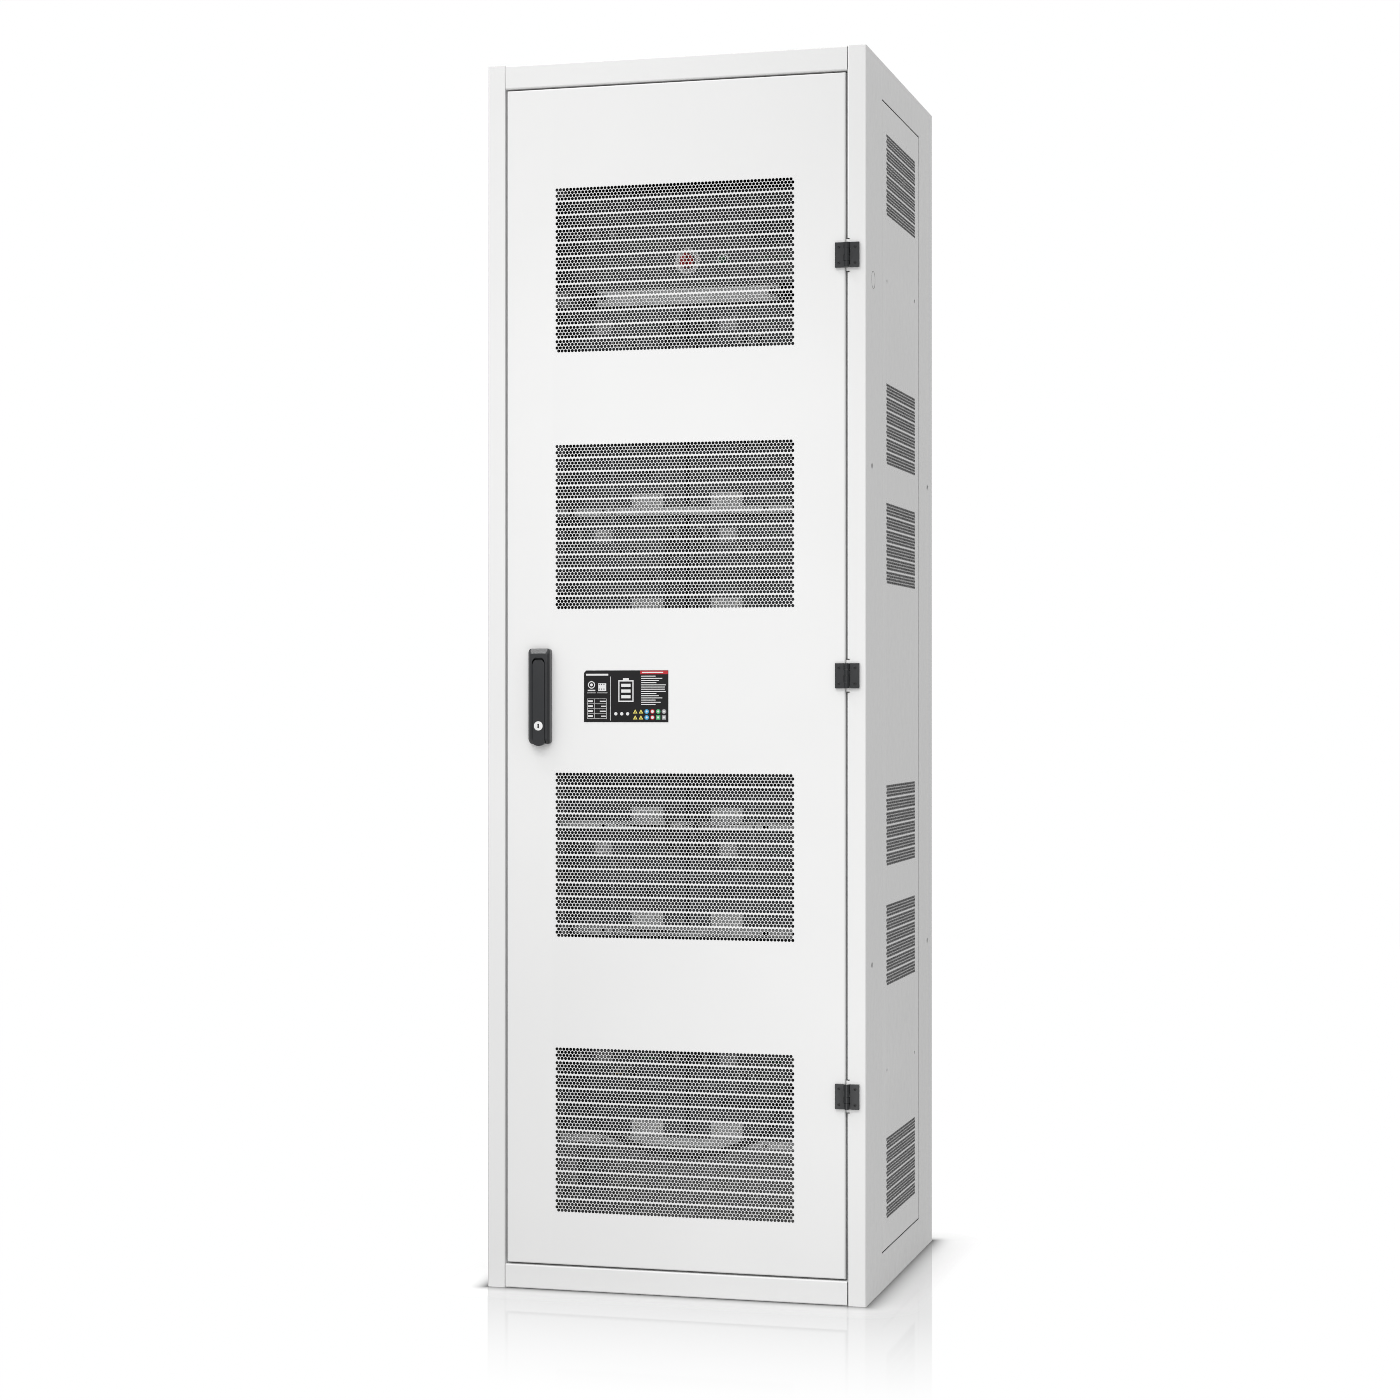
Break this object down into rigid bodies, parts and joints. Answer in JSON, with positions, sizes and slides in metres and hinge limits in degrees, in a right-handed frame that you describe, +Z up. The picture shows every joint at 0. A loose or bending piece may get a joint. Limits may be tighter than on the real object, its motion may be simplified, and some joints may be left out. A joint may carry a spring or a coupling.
{
  "type": "battery cabinet",
  "caption": "Tall free-standing battery rack cabinet with a hinged perforated front door, swing handle with rod lock, vented side panels, shelves of battery modules and a switchgear unit.",
  "frame": {"origin": "centre of the cabinet's footprint, on the floor", "axes": "+Z up, -Y out of the front door, +X towards the door's hinges"},
  "size_m": [0.65, 0.617, 2.055],
  "materials": {
    "white_steel": "fine orange-peel powder coat, satin",
    "inner_steel": "smooth powder coat, satin",
    "galvanised": "galvanised sheet",
    "module_case": "fine moulded texture",
    "dark_case": "satin",
    "black_plastic": "fine moulded texture",
    "rating_plate": "printed film",
    "rubber": "matte",
    "chrome": "polished",
    "zinc_steel": "zinc plated",
    "red_plastic": "glossy",
    "green_plastic": "glossy"
  },
  "bodies": {
    "cabinet": {"side_frame_right": "white_steel", "side_frame_left": "white_steel", "roof": "white_steel", "base": "white_steel", "gland_plate": "galvanised", "side_panel_right": "white_steel", "side_panel_left": "white_steel", "rear_panel": "white_steel", "ladder_right": "galvanised", "ladder_left": "galvanised", "shelf_1": "inner_steel", "module_1_left": "module_case", "module_1_right": "module_case", "shelf_2": "inner_steel", "module_2_left": "module_case", "module_2_right": "module_case", "shelf_3": "inner_steel", "module_3_left": "module_case", "module_3_right": "module_case", "shelf_4": "inner_steel", "module_4_left": "module_case", "module_4_right": "module_case", "shelf_5": "inner_steel", "module_5_left": "module_case", "module_5_right": "module_case", "shelf_6": "inner_steel", "module_6_left": "module_case", "module_6_right": "module_case", "shelf_7": "inner_steel", "module_7_left": "module_case", "module_7_right": "module_case", "shelf_8": "inner_steel", "module_8_left": "module_case", "module_8_right": "module_case", "link_cable": "rubber", "switchgear_case": "inner_steel", "switchgear_fascia": "dark_case", "control_unit": "dark_case", "hinge_lower_frame_leaf": "black_plastic", "hinge_lower_pin": "zinc_steel", "hinge_middle_frame_leaf": "black_plastic", "hinge_middle_pin": "zinc_steel", "hinge_upper_frame_leaf": "black_plastic", "hinge_upper_pin": "zinc_steel"},
    "door": {"hinge_lower_door_leaf": "black_plastic", "hinge_middle_door_leaf": "black_plastic", "hinge_upper_door_leaf": "black_plastic", "door_panel": "white_steel", "door_gasket": "rubber", "rating_plate": "rating_plate", "rod_guide_upper": "zinc_steel", "rod_guide_lower": "zinc_steel", "handle_housing": "black_plastic"},
    "lever": {"handle_lever": "black_plastic"},
    "plug": {"lock_plug": "chrome"},
    "cam": {"lock_cam": "zinc_steel"},
    "rod_upper": {"lock_rod_upper": "zinc_steel"},
    "rod_lower": {"lock_rod_lower": "zinc_steel"},
    "knob": {"isolator_knob": "red_plastic"},
    "button": {"reset_button": "green_plastic"}
  },
  "joints": [
    {"name": "door_hinge", "type": "hinge", "parent": "cabinet", "child": "door", "pos_m": [0.294, -0.305, 1.0275], "axis": [0, 0, 1], "range_deg": [0, 135]},
    {"name": "lever_lift", "type": "hinge", "parent": "door", "child": "lever", "pos_m": [-0.23, -0.311, 1.049], "axis": [-1, 0, 0], "range_deg": [0, 45]},
    {"name": "key_turn", "type": "hinge", "parent": "lever", "child": "plug", "pos_m": [-0.23, -0.317, 0.9446], "axis": [0, 1, 0], "range_deg": [0, 90]},
    {"name": "rod_upper_slide", "type": "slide", "parent": "door", "child": "rod_upper", "axis": [0, 0, 1], "range_m": [0, 0.02545]},
    {"name": "rod_lower_slide", "type": "slide", "parent": "door", "child": "rod_lower", "axis": [0, 0, -1], "range_m": [0, 0.0255]},
    {"name": "cam_turn", "type": "hinge", "parent": "door", "child": "cam", "pos_m": [-0.23, -0.271, 1.049], "axis": [0, 1, 0], "range_deg": [0, 90]},
    {"name": "isolator_turn", "type": "hinge", "parent": "cabinet", "child": "knob", "pos_m": [0, -0.2119, 1.728], "axis": [0, 1, 0], "range_deg": [0, 90]},
    {"name": "button_press", "type": "slide", "parent": "cabinet", "child": "button", "axis": [0, 1, 0], "range_m": [0, 0.003]}
  ],
  "couplings": [
    {"joint": "rod_lower_slide", "follows": "rod_upper_slide", "ratio": 1},
    {"joint": "cam_turn", "follows": "rod_upper_slide", "rad_per_m": 61.7}
  ]
}
